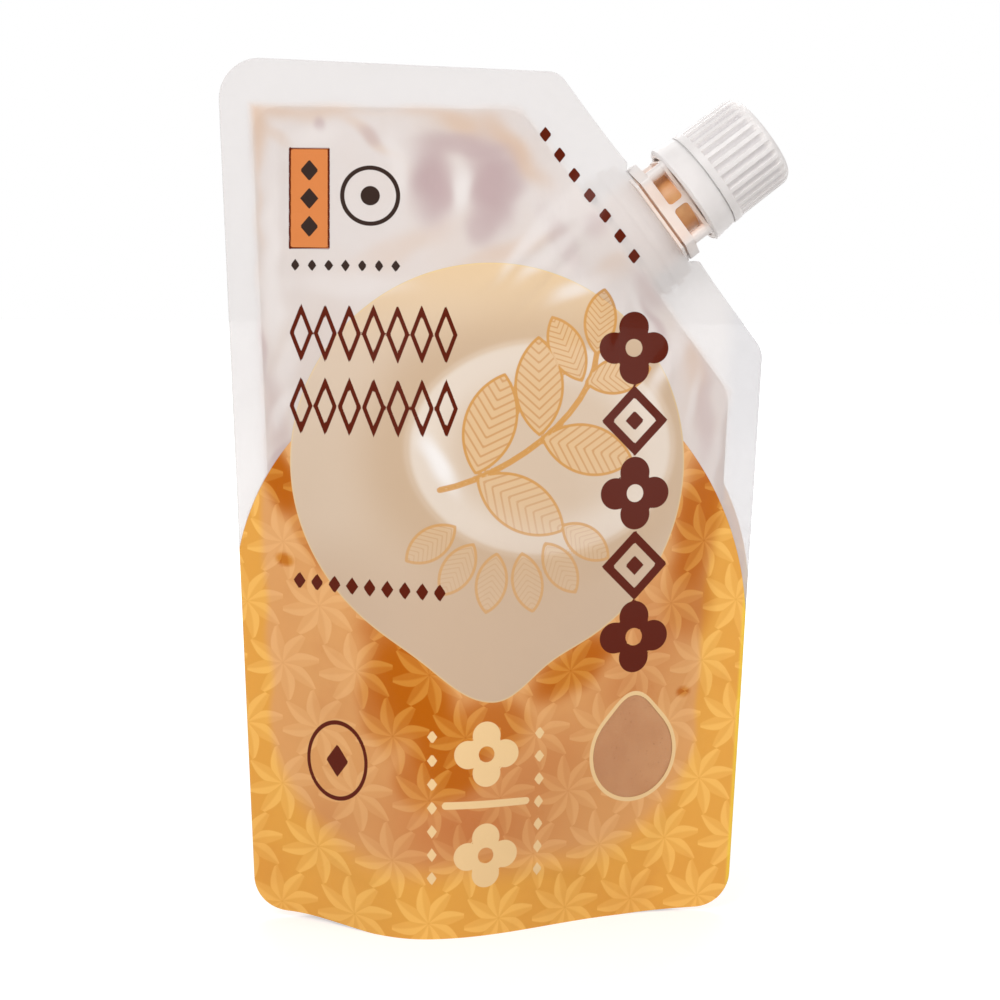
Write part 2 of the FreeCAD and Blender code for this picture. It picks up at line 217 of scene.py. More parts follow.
def outline_sides():
    """Left, right, bottom and top side of the pouch, each as points from its low or left end."""
    left_z = pouch_height + top_left_rise
    top_left = np.array([-half_width(left_z), left_z])
    foot_right = np.array([half_width(foot_rise[1]), foot_rise[1]])
    foot_left = np.array([-half_width(foot_rise[0]), foot_rise[0]])
    flat_left, flat_right = np.array([-foot_flat, 0.0]), np.array([foot_flat, 0.0])
    dips = [shoulder_middle + shoulder_way * side * dip_reach - shoulder_out * dip
            for side, dip in zip((-1, 1), shoulder_dip)]
    arcs = {
        "top_left": corner_arc(foot_left, top_left, shoulder_top, top_corner_radius),
        "shoulder_top": corner_arc(top_left, shoulder_top, dips[0], shoulder_top_radius),
        "shoulder_foot": corner_arc(dips[1], shoulder_foot, foot_right, shoulder_foot_radius),
        "foot_right": corner_arc(shoulder_foot, foot_right, flat_right, foot_corner_radius),
        "foot_left": corner_arc(flat_left, foot_left, top_left, foot_corner_radius),
    }
    half = {name: (arc[:9], arc[8:]) for name, arc in arcs.items()}
    left = np.vstack([half["foot_left"][1], half["top_left"][0]])
    right = np.vstack([half["shoulder_top"][1], arcs["shoulder_foot"], half["foot_right"][0]])[::-1]
    bottom = np.vstack([half["foot_right"][1], flat_right, flat_left, half["foot_left"][0]])[::-1]
    top = np.vstack([half["top_left"][1], half["shoulder_top"][0]])
    return left, right, bottom, top


def resample(side, count, main_axis):
    """The side at count places, evenly spaced by its run along the main axis plus a third of
    its run across it, so that a corner's arc gets its share."""
    step = np.abs(np.diff(side, axis=0))
    run = np.concatenate([[0], np.cumsum(step[:, main_axis] + 0.35 * step[:, 1 - main_axis])])
    places = np.linspace(0, run[-1], count)
    return np.stack([np.interp(places, run, side[:, k]) for k in (0, 1)], axis=-1)


def coons_patch(left, right, bottom, top, columns, rows):
    """Grid of x, z: left-right blend plus bottom-top blend, less the four corners' blend."""
    left, right = (resample(side, rows, 1)[:, None, :] for side in (left, right))
    bottom, top = (resample(side, columns, 0)[None, :, :] for side in (bottom, top))
    u = np.linspace(0, 1, columns)[None, :, None]
    v = np.linspace(0, 1, rows)[:, None, None]
    sides = (1 - u) * left + u * right + (1 - v) * bottom + v * top
    corners = ((1 - u) * (1 - v) * left[:1] + u * (1 - v) * right[:1]
               + (1 - u) * v * left[-1:] + u * v * right[-1:])
    grid = sides - corners
    return grid[..., 0], grid[..., 1]


def cut_to_seat(x, z, reach=6.0):
    """Pushes the grid in where the film is cut back for the spout. A point's distance inside
    the shoulder grows by what the seat lies deeper than the edge, less and less down to reach,
    and a short slope at the seat's ends joins it to the edge."""
    inside, along = inside_shoulder(x, z), along_shoulder(x, z)
    half = np.linalg.norm(shoulder_foot - shoulder_top) / 2
    edge = np.interp(along, [-half, -dip_reach, dip_reach, half], [0, *shoulder_dip, 0])
    at_seat = clamp(seat_length / 2 + seat_slope - np.abs(along))
    push = (seat_drop - edge) * clamp((reach - inside) / (reach - edge)) * at_seat
    return x - shoulder_out[0] * push, z - shoulder_out[1] * push


columns, rows = 248, 384
panel_x, panel_z = cut_to_seat(*coons_patch(*outline_sides(), columns, rows))
print("panel grid", columns, "x", rows, "spans", [round(float(v), 1) for v in
      (panel_x.min(), panel_x.max(), panel_z.min(), panel_z.max())])

# %% [markdown]
# ## Folds and ripples
#
# Film doesn't stretch, so a filled pouch puckers along its side seals, pulls tight from
# the spout, and keeps a few soft folds. Each fold is a smooth ridge along a short line. The
# puckers are a few sine waves with seeded directions, strongest next to the seal.

# %% Relief of the film
def ripple(x, z, size, seed):
    """Sum of six sine waves of about this wavelength in seeded directions, from -1 to 1."""
    draw, waves = np.random.default_rng(seed), 6
    spans = ((0, np.pi), (0, 6.28), (0.7, 1.5))
    total = np.zeros_like(x)
    for turn, phase, stretch in zip(*[draw.uniform(*span, waves) for span in spans]):
        total += np.sin(2 * np.pi * (x * np.cos(turn) + z * np.sin(turn)) / (size * stretch) + phase)
    return total / waves


def segment_distance(x, z, start, end):
    """Distance to a straight line, and how far along it the nearest point lies, from 0 to 1."""
    way = np.subtract(end, start).astype(float)
    along = clamp(((x - start[0]) * way[0] + (z - start[1]) * way[1]) / (way @ way))
    return np.hypot(x - start[0] - along * way[0], z - start[1] - along * way[1]), along


def fold(x, z, start, end, width, height):
    """A ridge: a bell curve across the line, thinning to nothing at both its ends."""
    distance, along = segment_distance(x, z, start, end)
    return height * np.exp(-(distance / width) ** 2) * np.sin(np.pi * clamp(0.08 + 0.84 * along)) ** 0.7


def side_room(x, z):
    """Distance from the inner line of the side seals into the body, over both sides."""
    return half_width(z) - side_seal - np.abs(x)


def body_share(x, z):
    """1 well inside the filled body, falling to 0 at the seals all round and at the foot."""
    room = np.minimum(side_room(x, z), (inside_shoulder(x, z) - shoulder_seal) * 0.8)
    room = np.minimum(room, fill_top - z)
    return smooth_step(room / 7) * smooth_step((z - 1) / 10)


front_folds = [
    ((-43.0, 100), (-42.2, 150), 1.7, 0.75), ((-39.8, 93), (-45.0, 112), 1.5, 0.5),
    ((-40.5, 112), (-38.5, 148), 2.6, -0.45), ((4.0, 148), (10.5, 128), 1.0, 0.32),
    ((9.0, 143), (17.0, 118), 1.6, -0.35), ((19.5, 121), (12.0, 104), 2.6, 0.4),
    ((33.0, 112), (30.0, 92), 2.4, 0.4), ((38.5, 108), (39.0, 88), 2.0, -0.35),
    ((-14.5, 95), (-9.0, 79), 2.2, 0.4), ((-12.0, 148), (-13.5, 126), 3.0, -0.5),
    ((5.0, 146), (1.5, 128), 3.2, -0.5), ((-35.0, 16), (-22.0, 9), 2.0, 0.35),
    ((27.0, 12), (35.0, 24), 2.0, 0.35), ((-30.0, 60), (-26.0, 34), 3.5, 0.3),
    ((2.0, 13), (18.0, 9.5), 1.6, 0.3), ((40.0, 60), (37.0, 36), 2.4, -0.3),
    ((17.0, 137), (-4.0, 121), 1.3, 0.35), ((19.0, 132), (3.0, 116), 1.1, -0.3),
    ((25.0, 124), (22.0, 110), 1.2, 0.3), ((34.5, 117), (31.5, 101), 1.0, 0.3),
    ((-44.5, 118), (-40.0, 90), 1.0, 0.3),
]
back_folds = [
    ((-41.0, 96), (-43.5, 140), 2.0, 0.6), ((40.0, 98), (37.0, 70), 2.4, 0.45),
    ((6.0, 150), (14.0, 126), 1.5, 0.5), ((20.0, 118), (10.0, 98), 2.8, 0.5),
    ((-20.0, 148), (-14.0, 122), 3.2, -0.5), ((-34.0, 16), (-20.0, 9), 2.2, 0.4),
    ((30.0, 14), (37.0, 30), 2.2, 0.4), ((-4.0, 150), (-2.0, 132), 2.6, 0.45),
]


def relief(x, z, folds, seed):
    """Folds, puckers that die away from the side and top seals, and long soft swells, in
    millimetres outward."""
    total = sum(fold(x, z, *shape) for shape in folds)
    by_side, by_top = (np.exp(-np.maximum(room, 0) / fade)
                       for room, fade in ((side_room(x, z), 5), (fill_top - z, 6)))
    pucker = by_side * ripple(0.25 * x, z, 6.5, seed) * 0.35
    top_pucker = by_top * ripple(x, 0.2 * z, 8, seed + 1) * 0.3
    swell = ripple(x, z, 42, seed + 2) * 0.5
    return body_share(x, z) * (total + pucker + top_pucker + swell)


def seal_wave(x, z):
    """Both films together sway a little out of the plane along the welded rims, but not
    beside the spout or at the foot."""
    away = (smooth_step((np.abs(along_shoulder(x, z)) - 14) / 10)
            + smooth_step((inside_shoulder(x, z) - 20) / 10))
    rim = 1 - smooth_step((side_room(x, z) + 1) / 6) * smooth_step((fill_top - z) / 6)
    return 0.35 * ripple(x, z, 34, 5) * clamp(away) * rim * smooth_step((z - 4) / 16)


# %% [markdown]
# ## The printed layout
#
# Print is flat colour with clean edges. Each ink's shape is worked out as a signed
# distance: negative inside, zero on the edge, positive outside. Distances blend evenly
# between mesh points, so a shader that cuts them at zero draws an edge far sharper than
# the mesh. Joining two shapes is the lower of their two distances.

# %% Shapes as signed distances
def disc(x, z, centre, radius):
    return np.hypot(x - centre[0], z - centre[1]) - radius


def oval(x, z, centre, reach):
    """Scaled distance to an ellipse: right on its edge, and close enough beside it."""
    return (np.hypot((x - centre[0]) / reach[0], (z - centre[1]) / reach[1]) - 1) * min(reach)


def lozenge(x, z, centre, reach):
    """A diamond: the two shares of its reach add up to one on its edge."""
    a, b = np.abs(x - centre[0]), np.abs(z - centre[1])
    return (a / reach[0] + b / reach[1] - 1) * reach[0] * reach[1] / math.hypot(*reach)


def box(x, z, centre, reach, corner=0.0):
    """A rectangle with rounded corners."""
    a = np.abs(x - centre[0]) - reach[0] + corner
    b = np.abs(z - centre[1]) - reach[1] + corner
    return np.hypot(np.maximum(a, 0), np.maximum(b, 0)) + np.minimum(np.maximum(a, b), 0) - corner


def outline(distance, width):
    """The line that runs along a shape's edge."""
    return np.abs(distance) - width / 2


def join(shapes):
    """The lowest of several distances."""
    return np.minimum.reduce(list(shapes))


def drop(x, z, centre, radius, tip, spread, down=1, stretch=1.0):
    """A disc whose radius grows by tip towards the bottom, or the top, as a bell curve of the
    angle from there; spread gives the bell's width to the left and right."""
    a, b = x - centre[0], (z - centre[1]) / stretch
    angle = np.arctan2(a, -b * down)
    bell = np.exp(-(angle / np.where(a < 0, *spread)) ** 2)
    return np.hypot(a, b) - radius - tip * bell


def leaf(x, z, base, end, width):
    """A pointed oval between two arcs, with how far along and across it each point lies."""
    way = np.subtract(end, base).astype(float)
    half = np.linalg.norm(way) / 2
    way /= 2 * half
    middle = (np.add(base, end)) / 2
    a = (x - middle[0]) * way[0] + (z - middle[1]) * way[1]
    b = np.abs((x - middle[0]) * way[1] - (z - middle[1]) * way[0])
    arc = (half ** 2 + (width / 2) ** 2) / width
    return np.hypot(a, b + arc - width / 2) - arc, a, b


# %% The front's shapes
FAR = 50.0               # a distance that draws nothing
drop_centre, drop_radius = (-3.0, 88.0), 37.4
label_centre, label_reach = (-36.9, 137.0), (3.6, 9.3)
badge_centre, dot_ring_centre = (-31.6, 32.0), (-25.6, 137.6)
sprig_stem = ((-13.0, 83.5), (0.0, 88.5), (11.5, 97.5), (17.0, 108.5))


def orange_field(x, z, arcs=(((-2.5, 61.4), 48.4), ((-9.4, 55.5), 56.8))):
    """Everything below a wide arc: inside a big disc on the left and a bigger one on the
    right, or lower than their middles."""
    left, right = (np.minimum(disc(x, z, *arc), z - arc[0][1]) for arc in arcs)
    return np.where(x < -2.5, left, right)


def quatrefoil(x, z, centre, size):
    """Four discs round a centre, with a small disc left out in the middle."""
    reach = size * 0.29
    petals = join(disc(x, z, (centre[0] + reach * a, centre[1] + reach * b), size * 0.22)
                  for a, b in ((0, 1), (1, 0), (0, -1), (-1, 0)))
    return np.maximum(petals, -disc(x, z, centre, size * 0.125))


def framed_lozenge(x, z, centre, size):
    """A thick diamond frame with a small diamond in it."""
    ring = outline(lozenge(x, z, centre, (size * 0.44, size * 0.44)), size * 0.13)
    return np.minimum(ring, lozenge(x, z, centre, (size * 0.15, size * 0.15)))


def brown_shapes(x, z):
    """A column of five ornaments at the right, a border of two rows at the left, a ring with
    a lozenge, the label's edge, a row of small lozenges and a few along the shoulder."""
    kinds = ((quatrefoil, 13.4), (framed_lozenge, 12.4))
    column = [kinds[i % 2][0](x, z, (24.4, 109.5 - 13.6 * i), kinds[i % 2][1]) for i in range(5)]
    border = [outline(lozenge(x, z, (-38.4 + 4.45 * i, row), (1.75, 4.5)), 0.75)
              for row in (112.0, 98.4) for i in range(7)]
    dots = [lozenge(x, z, (-38.6 + 3.2 * i, 65.5 - 0.12 * i), (1.15, 1.7)) for i in range(9)]
    ring = [outline(oval(x, z, badge_centre, (5.2, 7.3)), 0.6), lozenge(x, z, badge_centre, (2.0, 3.2)),
            outline(box(x, z, label_centre, label_reach), 0.4)]
    strip = [lozenge(x, z, (7.4 + 16.4 * t, 149.4 - 22.6 * t), (1.2, 1.5)) for t in np.linspace(0, 1, 7)]
    return join(column + border + dots + ring + strip)


def dark_shapes(x, z):
    """What is printed nearly black: a ring round a dot, three lozenges on the label and a row
    of small ones under both."""
    ring = [outline(disc(x, z, dot_ring_centre, 5.2), 0.8), disc(x, z, dot_ring_centre, 1.8)]
    label_x, label_z = label_centre
    label = [lozenge(x, z, (label_x, label_z + 5.2 * i), (1.7, 2.0)) for i in (-1, 0, 1)]
    small = [lozenge(x, z, (-39.5 + 3.1 * i, 124.6), (0.85, 1.15)) for i in range(7)]
    return join(ring + label + small)


def pale_shapes(x, z):
    """Two quatrefoils with a rule between them, a column of dots on either side, and the
    line round the window."""
    middle = -4.2
    pair = [quatrefoil(x, z, (middle, level), 12.0) for level in (34.6, 15.4)]
    rule = [box(x, z, (middle, 25.2), (8.4, 0.7), 0.7)]
    dots = [lozenge(x, z, (middle + side * 10.2, 38.0 - 4.4 * i), (0.95, 1.3))
            for side in (-1, 1) for i in range(7)]
    window = outline(window_shape(x, z), 0.75)
    return join(pair + rule + dots + [window])


def window_shape(x, z):
    """The small clear window: a drop with its point up."""
    return drop(x, z, (24.9, 32.4), 8.5, 2.2, (0.42, 0.42), down=-1, stretch=1.1)


def gold_leaves(x, z):
    """A sprig with leaves on both sides of its stem, and a fan of seeds in the drop's point.
    The stem is the cubic through its four points. Veins slant back from a leaf's middle line:
    their phase counts up along it and down across it."""
    shapes = []
    for start, end, leaf_length in zip(sprig_stem[:-1], sprig_stem[1:], (19.0, 18.0, 13.0)):
        way = np.subtract(end, start) / np.linalg.norm(np.subtract(end, start))
        for side in (-1, 1):
            turn = math.radians(52 * side)
            slant = np.array([way[0] * math.cos(turn) - way[1] * math.sin(turn),
                              way[0] * math.sin(turn) + way[1] * math.cos(turn)])
            base = np.add(start, end) / 2 + slant * 0.6
            shapes.append((tuple(base), tuple(base + slant * leaf_length), leaf_length * 0.5))
    top = np.array(sprig_stem[-1])
    shapes.append((tuple(top), tuple(top + (1.5, 12.0)), 6.0))
    for turn in np.linspace(-0.95, 0.95, 6):
        way = np.array([math.sin(turn), -math.cos(turn)])
        foot = np.array([0.0, 84.0])
        shapes.append((tuple(foot + 12.5 * way), tuple(foot + 23.5 * way), 5.6))
    distance, phase = np.full(x.shape, FAR), np.zeros(x.shape)
    for shape in shapes:
        own, along, across = leaf(x, z, *shape)
        phase = np.where(own < distance, (along - 0.9 * across) / (shape[2] * 0.19), phase)
        distance = np.minimum(distance, own)
    steps = np.linspace(0, 3, 13)
    fits = [np.polyfit(range(4), axis, 3) for axis in zip(*sprig_stem)]
    curve = np.stack([np.polyval(fit, steps) for fit in fits], axis=1)
    stem = join(segment_distance(x, z, start, end)[0] - 0.3 for start, end in zip(curve[:-1], curve[1:]))
    return np.minimum(distance, stem), phase


# %% [markdown]
# ## Soft tones
#
# Thin ink over film shows what lies behind it: it looks warmer where paste touches the
# film, and deeper where it doesn't. Those tones, the smears of paste in the clear part, and
# the painted shade and painted highlights there are soft, so they are stored as plain shares from 0 to 1.

# %% Soft shares
def glow(x, z, centre, reach, turn=0.0, firm=1):
    """A soft oval spot: a bell curve of the distance scaled by its two reaches. The higher
    firm is, the flatter its middle and the steeper its edge."""
    c, s = math.cos(math.radians(turn)), math.sin(math.radians(turn))
    a = (x - centre[0]) * c + (z - centre[1]) * s
    b = -(x - centre[0]) * s + (z - centre[1]) * c
    return np.exp(-((a / reach[0]) ** 2 + (b / reach[1]) ** 2) ** firm)


def spots(x, z, table, firm=1):
    """Several soft spots that build up towards 1, their outlines swayed a little."""
    x, z = x + 0.9 * ripple(x, z, 9, 61), z + 0.9 * ripple(x, z, 9, 62)
    rest = np.ones_like(x)
    for centre, reach, turn, share in table:
        rest = rest * (1 - share * glow(x, z, centre, reach, turn, firm))
    return 1 - rest


deep_table = [((-17.5, 45.5), (7.0, 16.5), 28, 1.0), ((-10.5, 33.5), (6.5, 7.5), 0, 1.0),
              ((-3.5, 39.5), (8.0, 6.0), 0, 0.85), ((12.5, 50.0), (9.5, 4.6), 35, 1.0),
              ((37.5, 77.0), (5.0, 14.0), -10, 0.95), ((35.5, 62.0), (5.5, 8.0), 0, 0.6),
              ((-42.5, 84.5), (3.2, 8.0), 20, 1.0), ((-37.0, 73.0), (2.0, 6.0), 25, 0.6),
              ((-41.3, 69.5), (1.6, 1.1), -35, 1.0), ((34.9, 43.8), (1.5, 1.0), 20, 0.9),
              ((-23.5, 42.5), (4.5, 8.5), 15, 0.8), ((-16.0, 30.0), (5.5, 6.0), 0, 0.7)]
blush_table = [((-8.0, 21.0), (16.0, 14.0), 0, 1.0), ((7.0, 32.0), (12.0, 9.0), 10, 0.55),
               ((24.0, 45.0), (7.0, 6.0), 0, 0.7), ((-34.0, 21.0), (4.0, 4.0), 0, 0.3),
               ((29.0, 57.0), (7.0, 8.0), 0, 0.7)]
smear_table = [((-46.8, 150.0), (2.2, 6.5), 0, 0.85), ((-39.0, 153.8), (9.0, 2.4), 0, 0.75),
               ((-23.0, 154.2), (12.0, 1.5), -2, 0.4), ((-8.5, 151.2), (5.5, 2.8), -20, 0.75),
               ((1.5, 146.5), (8.0, 2.3), -48, 0.9), ((-46.8, 134.0), (1.2, 14.0), 0, 0.6),
               ((-42.6, 148.2), (3.2, 1.1), -35, 0.5), ((-25.5, 148.5), (7.0, 1.2), -40, 0.5),
               ((-20.0, 128.0), (11.0, 2.4), 24, 0.35), ((0.0, 127.5), (9.0, 1.8), 20, 0.5),
               ((36.5, 108.0), (2.4, 8.0), 0, 0.45), ((20.0, 125.0), (4.0, 2.4), 30, 0.4)]
# painted shade: mauve soft spots in the hollows and beside the folds of the clear film
painted_shade_table = [((-13.9, 140.4), (4.2, 7.8), 3, 1.0), ((-3.0, 139.8), (4.4, 8.2), 6, 1.0),
               ((0.5, 141.0), (3.2, 4.2), 0, 0.7), ((-4.8, 131.8), (2.8, 3.8), 0, 0.7),
               ((-8.0, 147.2), (7.5, 2.2), -6, 0.75), ((-34.7, 151.0), (1.3, 1.6), 20, 0.7),
               ((-25.6, 148.8), (2.4, 1.4), -30, 0.5), ((10.0, 130.0), (2.2, 6.0), 30, 0.4),
               ((17.0, 133.0), (3.6, 2.4), 40, 0.4), ((27.0, 121.0), (5.0, 2.6), -50, 0.4),
               ((-43.0, 96.0), (2.0, 9.0), 8, 0.35), ((38.5, 97.0), (2.0, 9.0), 0, 0.4),
               ((-42.6, 88.0), (1.0, 6.0), -32, 0.6), ((-45.6, 109.0), (0.9, 6.0), 8, 0.6),
               ((28.5, 114.0), (1.2, 5.0), 35, 0.6)]
# painted highlights: pale soft spots along the folds of the clear film and on the drop
painted_highlight_table = [((-43.6, 126.0), (1.5, 14.0), 0, 0.95), ((-41.0, 106.0), (1.8, 6.0), -20, 0.7),
               ((-36.5, 148.6), (5.5, 2.2), 6, 0.7), ((-20.5, 143.0), (1.7, 7.0), 8, 0.7),
               ((-8.6, 139.0), (1.8, 4.4), -6, 1.0), ((5.5, 131.0), (9.0, 1.5), 48, 0.8),
               ((9.0, 128.0), (8.0, 1.6), 40, 0.7), ((-30.0, 121.0), (11.0, 2.2), 0, 0.5),
               ((32.0, 108.0), (1.8, 9.0), -28, 0.6), ((14.0, 121.0), (6.0, 1.6), 20, 0.6),
               ((-43.4, 115.5), (2.0, 5.0), 0, 0.8), ((-41.8, 98.0), (1.5, 4.6), -22, 0.9),
               ((26.0, 116.0), (0.8, 5.0), 35, 0.8), ((36.0, 99.0), (1.0, 6.0), -8, 0.6),
               ((-13.2, 88.3), (1.8, 6.0), 32, 0.9)]


def paste_touch(x, z):
    """Where filled film lies against the paste: inside a rounded frame set in from the seals,
    which leans with the sides."""
    level = x * half_width(60.0) / half_width(z)
    frame_shape = box(level, z, (-3.0, 82.0), (42.3, 73.0), 26.0)
    soft = 1.8 + 7.0 * (1 - smooth_step((z - 8) / 30))
    return smooth_step((0.4 - frame_shape + 1.0 * ripple(x, z, 16, 31)) / soft)


def pool(x, z):
    """The paler pool in the drop, from 1 along its lower rim to 0 higher up, less a shade that
    falls away under that rim."""
    depth = -oval(x, z, (6.5, 91.0), (25.5, 20.0))
    light = smooth_step(depth / 2.6 + 0.5) * (1 - 0.75 * smooth_step((depth - 1) / 9))
    shade = np.exp(-(np.minimum(depth, 0) / 8) ** 2) * smooth_step(0.5 - depth / 2.6)
    return light - shade


def front_layout(x, z):
    """All the front's inks and tones at points x, z."""
    gold, vein = gold_leaves(x, z)
    return {
        "field": orange_field(x, z),
        "drop": drop(x, z, drop_centre, drop_radius, 6.4, (0.28, 0.21)),
        "gold": gold, "vein": vein, "brown": brown_shapes(x, z), "pale": pale_shapes(x, z),
        "dark": dark_shapes(x, z), "pool": pool(x, z), "blush": spots(x, z, blush_table),
        "window": window_shape(x, z), "label": box(x, z, label_centre, label_reach),
        "touch": paste_touch(x, z),
        "deep": spots(x, z, deep_table, 3), "smear": spots(x, z, smear_table, 1.4),
        "painted_shade": spots(x, z, painted_shade_table, 1.8), "painted_highlight": spots(x, z, painted_highlight_table, 1.6),
    }


def blank_layout(shape):
    """No ink and no tone at all: every distance is far and every share is 0."""
    distances = ("field", "drop", "gold", "brown", "dark", "pale", "window", "label")
    shares = ("vein", "pool", "blush", "touch", "deep", "smear", "painted_shade", "painted_highlight")
    return {name: np.full(shape, FAR if name in distances else 0.0) for name in distances + shares}


def back_layout(x, z):
    """The back has the same field and pattern, and one bare pale panel with a line round it."""
    middle = (-1.5, 48.0)
    return blank_layout(x.shape) | {
        "field": orange_field(x, z, (((-1.5, 61.4), 49.4),) * 2),
        "drop": box(x, z, middle, (30.0, 27.0), 4.0),
        "pale": outline(box(x, z, middle, (32.0, 29.0), 6.0), 0.6),
        "touch": paste_touch(x, z),
        "deep": spots(x, z, [((20.0, 82.0), (14.0, 5.0), 0, 0.8), ((-30.0, 80.0), (9.0, 5.0), 20, 0.7),
                             ((38.0, 40.0), (3.0, 16.0), 0, 0.6)], 3),
        "smear": spots(-x, z, smear_table), "painted_shade": spots(x + 4, z + 2, painted_shade_table),
        "painted_highlight": spots(x, z - 2, painted_highlight_table),
    }


# %% [markdown]
# ## Meshes from arrays
#
# One helper turns arrays into a mesh: points, faces, and one number per point for each
# ink or tone. A grid's faces come from its row and column numbers, worked out at once.

# %% Mesh helpers
def new_piece(name, points, faces, numbers):
    """A mesh object at the origin from points in millimetres, with numbers as attributes."""
    mesh = bpy.data.meshes.new(name)
    mesh.vertices.add(len(points))
    mesh.vertices.foreach_set("co", (points * MM).astype(np.float32).ravel())
    mesh.loops.add(faces.size)
    mesh.loops.foreach_set("vertex_index", faces.astype(np.int32).ravel())
    mesh.polygons.add(len(faces))
    mesh.polygons.foreach_set("loop_start", np.arange(0, faces.size, faces.shape[1], dtype=np.int32))
    mesh.polygons.foreach_set("use_smooth", np.ones(len(faces), bool))
    for key, values in numbers.items():
        layer = mesh.attributes.new(key, "FLOAT", "POINT")
        layer.data.foreach_set("value", values.astype(np.float32).ravel())
    mesh.update(calc_edges=True)
    mesh.validate()
    piece = bpy.data.objects.new(name, mesh)
    bpy.context.scene.collection.objects.link(piece)
    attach(piece, "root")
    print(name, "points", len(points), "faces", len(faces))
    return piece


def grid_faces(row_count, column_count, flip=False):
    """Four-sided faces of a grid whose points are numbered along its rows."""
    number = np.arange(row_count * column_count).reshape(row_count, column_count)
    ring = [number[:-1, :-1], number[:-1, 1:], number[1:, 1:], number[1:, :-1]]
    faces = np.stack(ring, axis=-1).reshape(-1, 4)
    return faces[:, ::-1] if flip else faces


# %% [markdown]
# ## The two film panels
#
# Each panel is the outline's grid pushed out by the stand-off and the relief. A last row
# on its sides and top steps in to the middle plane, where it meets the other panel, so the
# pair closes.

# %% Build the panels
def film_panel(name, sign, side, folds, seed, layout):
    """The front has sign -1 and the back +1: y is the sway plus sign times the stand-off."""
    sway = seal_wave(panel_x, panel_z)
    y = sway + sign * (panel_offset(panel_x, panel_z, *side) + relief(panel_x, panel_z, folds, seed))
    def widen(a):
        """Repeats the left, right and top rims for the step to the middle plane."""
        return np.pad(a, ((0, 1), (1, 1)), mode="edge")
    x, z, y, middle = widen(panel_x), widen(panel_z), widen(y), widen(sway)
    y[:, 0], y[:, -1], y[-1, :] = middle[:, 0], middle[:, -1], middle[-1, :]
    points = np.stack([x + centre_x, y, z], axis=-1).reshape(-1, 3)
    numbers = layout(x + centre_x, z)
    room = np.minimum(side_room(x, z), np.minimum(fill_top - z, inside_shoulder(x, z) - shoulder_seal))
    wider = 1.4 * np.exp(-((z - 84) / 9) ** 2) * (x > 0)
    numbers["weld"] = 1 - smooth_step((room + 1.2 - wider + 0.9 * ripple(x, z, 12, seed)) / 2.4)
    numbers["edge"] = half_width(z) - x
    return new_piece(name, points, grid_faces(*x.shape, flip=sign > 0), numbers), y


film_front, front_y = film_panel("film_front", -1, FRONT, front_folds, 11, front_layout)
film_back, back_y = film_panel("film_back", 1, BACK, back_folds, 47, back_layout)
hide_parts("pouch")

# %% [markdown]
# ## The gusset
#
# Under the body a third film is folded in and welded to both panels along their lower
# edge. Across the pouch it is a rim strip, a short upright weld, and an arch that hangs low
# in the middle and climbs towards the corners.

# %% Build the gusset
bottom_x, bottom_z = panel_x[0], panel_z[0]
bottom_front, bottom_back = front_y[0, 1:-1], back_y[0, 1:-1]
thin = np.minimum(-bottom_front, bottom_back) < gusset_end_depth
recess_left = bottom_x[(bottom_x > 0) | ~thin][0]
recess_right = bottom_x[(bottom_x < 0) | ~thin][-1]


def arch_height(x, t):
    """Height of the folded film at share t from front to back: a parabola between the two
    welds, whose peak climbs with the distance from the middle to a power."""
    share = clamp(np.abs(x - (recess_left + recess_right) / 2) / ((recess_right - recess_left) / 2))
    peak = floor_rise + (gusset_peak - floor_rise) * share ** gusset_climb
    return rim_height + 4 * t * (1 - t) * (peak - rim_height)


def gusset_points(arch_steps=24):
    """One line of points across the pouch for each place along its foot."""
    open_here = ((bottom_x >= recess_left) & (bottom_x <= recess_right)).astype(float)
    inner_front, inner_back = bottom_front + rim_wall * open_here, bottom_back - rim_wall * open_here
    lines = [(bottom_front, bottom_z), (inner_front, bottom_z)]
    for t in np.linspace(0, 1, arch_steps):
        y = inner_front + (inner_back - inner_front) * t
        lines.append((y, bottom_z + open_here * (arch_height(bottom_x, t) - bottom_z)))
    lines += [(inner_back, bottom_z), (bottom_back, bottom_z)]
    return np.stack([np.stack([bottom_x + centre_x, y, z], axis=-1) for y, z in lines])


lines = gusset_points()
flat = np.zeros(lines.shape[:2])
inks = blank_layout(flat.shape) | {
    "field": flat - 5, "touch": flat + 0.6, "deep": flat + 0.3, "weld": flat, "edge": flat + FAR}
film_gusset = new_piece("film_gusset", lines.reshape(-1, 3), grid_faces(*lines.shape[:2], flip=True),
                        inks)

# %% [markdown]
# ## The paste
#
# The paste fills the space between the films. It is one closed skin: a front and a back
# wall just inside the film, joined all round by a strip, and along the foot by the
# gusset's arch. It reaches into the film's thickness, so no air gap shows. A plug of it
# stands in the spout's bore.

# %% Build the paste
skin = 0.14              # how far the paste's skin lies behind the film's outer face


